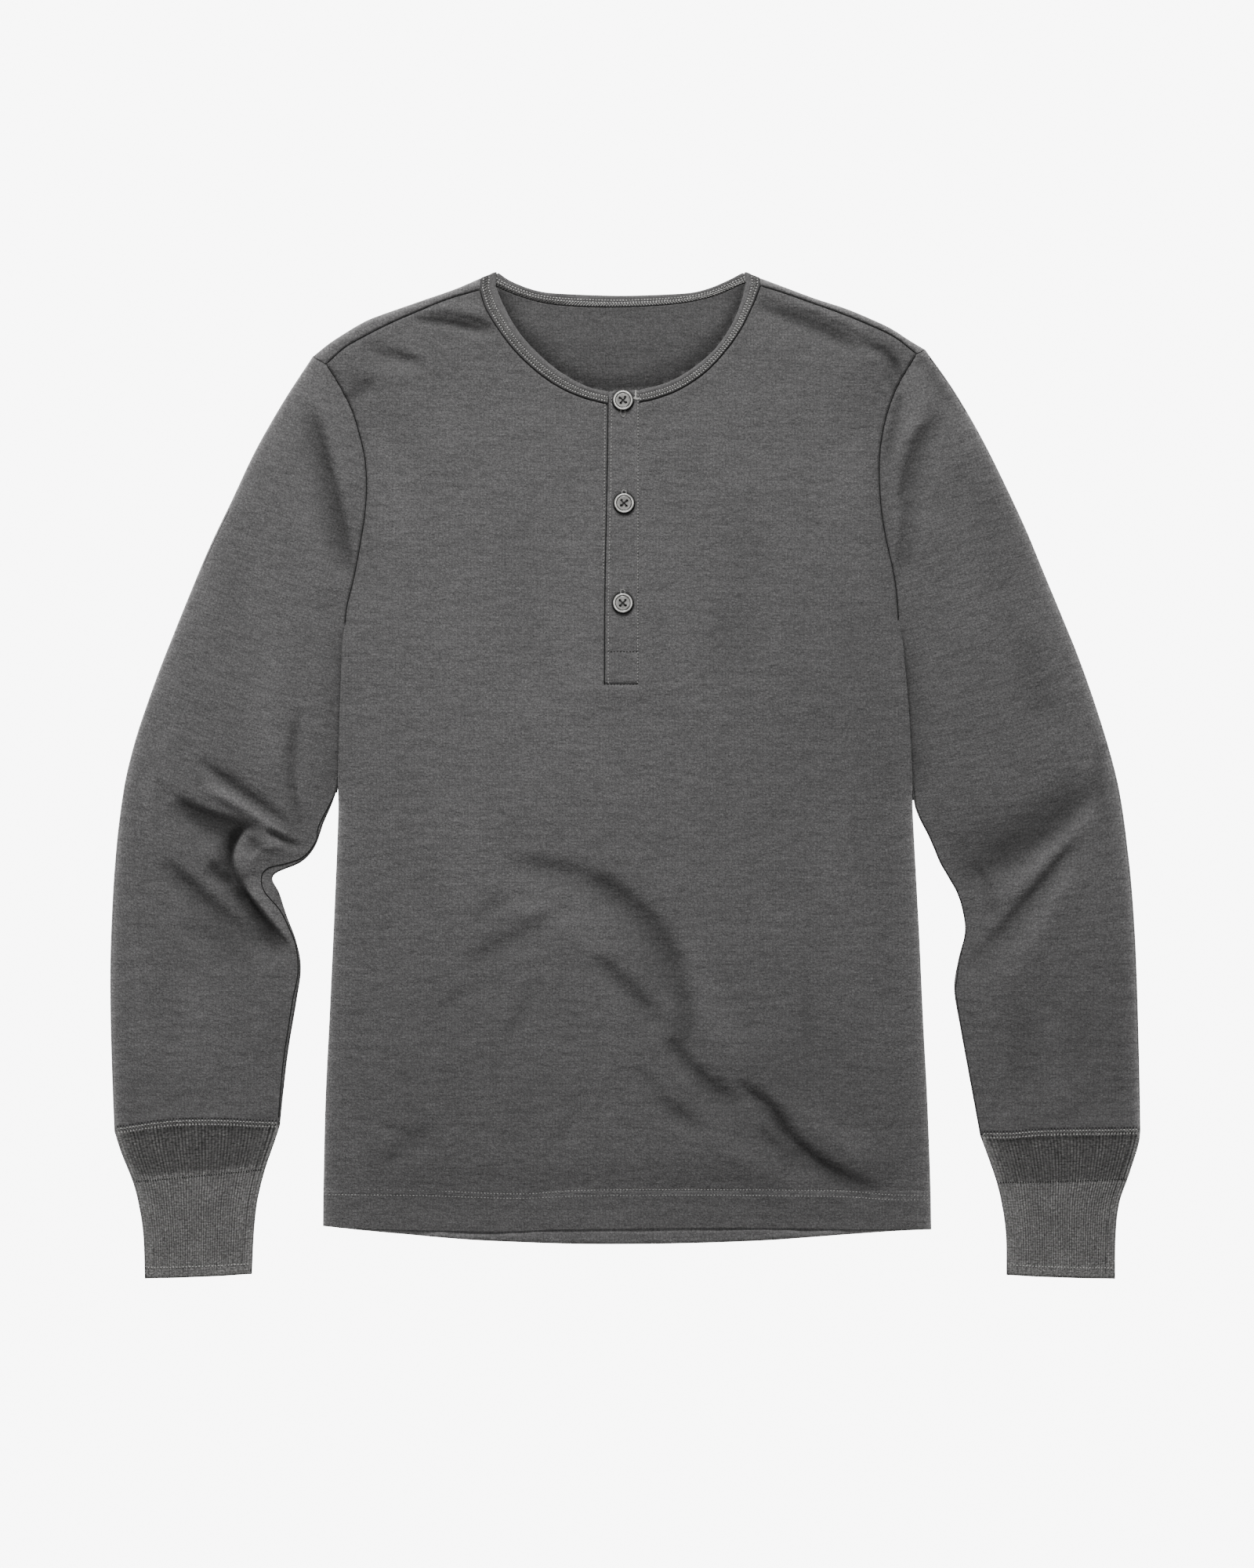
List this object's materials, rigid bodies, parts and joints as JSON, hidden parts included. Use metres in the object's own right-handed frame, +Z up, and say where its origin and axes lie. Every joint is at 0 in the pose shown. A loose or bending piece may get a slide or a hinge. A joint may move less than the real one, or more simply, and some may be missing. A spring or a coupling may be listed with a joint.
{
  "type": "long-sleeved henley shirt",
  "caption": "Long-sleeved henley shirt laid flat, with a buttoned half placket, a bound round neck, ribbed cuffs and a turned-up hem.",
  "frame": {"origin": "centre of the bounding box on the surface the shirt lies on", "axes": "+X towards the wearer's left sleeve, +Y from hem to neck, +Z up away from the surface, the shirt's front facing up"},
  "size_m": [0.7554, 0.738, 0.0092],
  "materials": {
    "front_panel": "matte",
    "back_panel": "matte",
    "sleeve_right": "matte",
    "sleeve_left": "matte",
    "cuff_right": "matte",
    "cuff_left": "matte",
    "neck_binding": "matte",
    "placket_top": "matte",
    "placket_under": "matte",
    "button_1": "satin",
    "button_2": "satin",
    "button_3": "satin"
  },
  "bodies": {
    "root": {"front_panel": "front_panel", "back_panel": "back_panel", "sleeve_right": "sleeve_right", "sleeve_left": "sleeve_left", "cuff_right": "cuff_right", "cuff_left": "cuff_left", "neck_binding": "neck_binding", "placket_top": "placket_top", "placket_under": "placket_under", "button_1": "button_1", "button_2": "button_2", "button_3": "button_3"}
  },
  "joints": []
}
